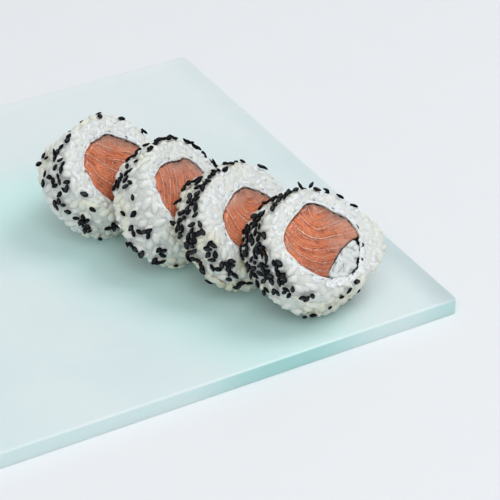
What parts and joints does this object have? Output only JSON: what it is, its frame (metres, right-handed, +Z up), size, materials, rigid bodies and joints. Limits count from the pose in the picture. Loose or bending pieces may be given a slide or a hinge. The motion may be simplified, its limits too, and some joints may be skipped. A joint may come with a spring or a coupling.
{
  "type": "uramaki rolls on a glass plate",
  "caption": "Leaning slices of inside-out sushi roll, rice outside with nori and salmon inside, on a flat frosted glass serving plate.",
  "frame": {"origin": "centre of the plate's underside, on the surface it rests on", "axes": "+Z up, +X along the plate's long side, +Y along its short side away from the side the cut faces look to"},
  "size_m": [0.3, 0.2, 0.0461],
  "materials": {
    "frosted_glass": "frosted, faint green tint",
    "rice": "cooked white rice, moist",
    "nori": "dark seaweed sheet, moist",
    "salmon": "raw salmon, moist, with pale fat lines"
  },
  "bodies": {
    "root": {"glass_plate": "frosted_glass", "roll_1_rice": "rice", "roll_1_nori": "nori", "roll_1_salmon": "salmon", "roll_2_rice": "rice", "roll_2_nori": "nori", "roll_2_salmon": "salmon", "roll_3_rice": "rice", "roll_3_nori": "nori", "roll_3_salmon": "salmon", "roll_4_rice": "rice", "roll_4_nori": "nori", "roll_4_salmon": "salmon", "roll_4_pocket_rice": "rice"}
  },
  "joints": []
}
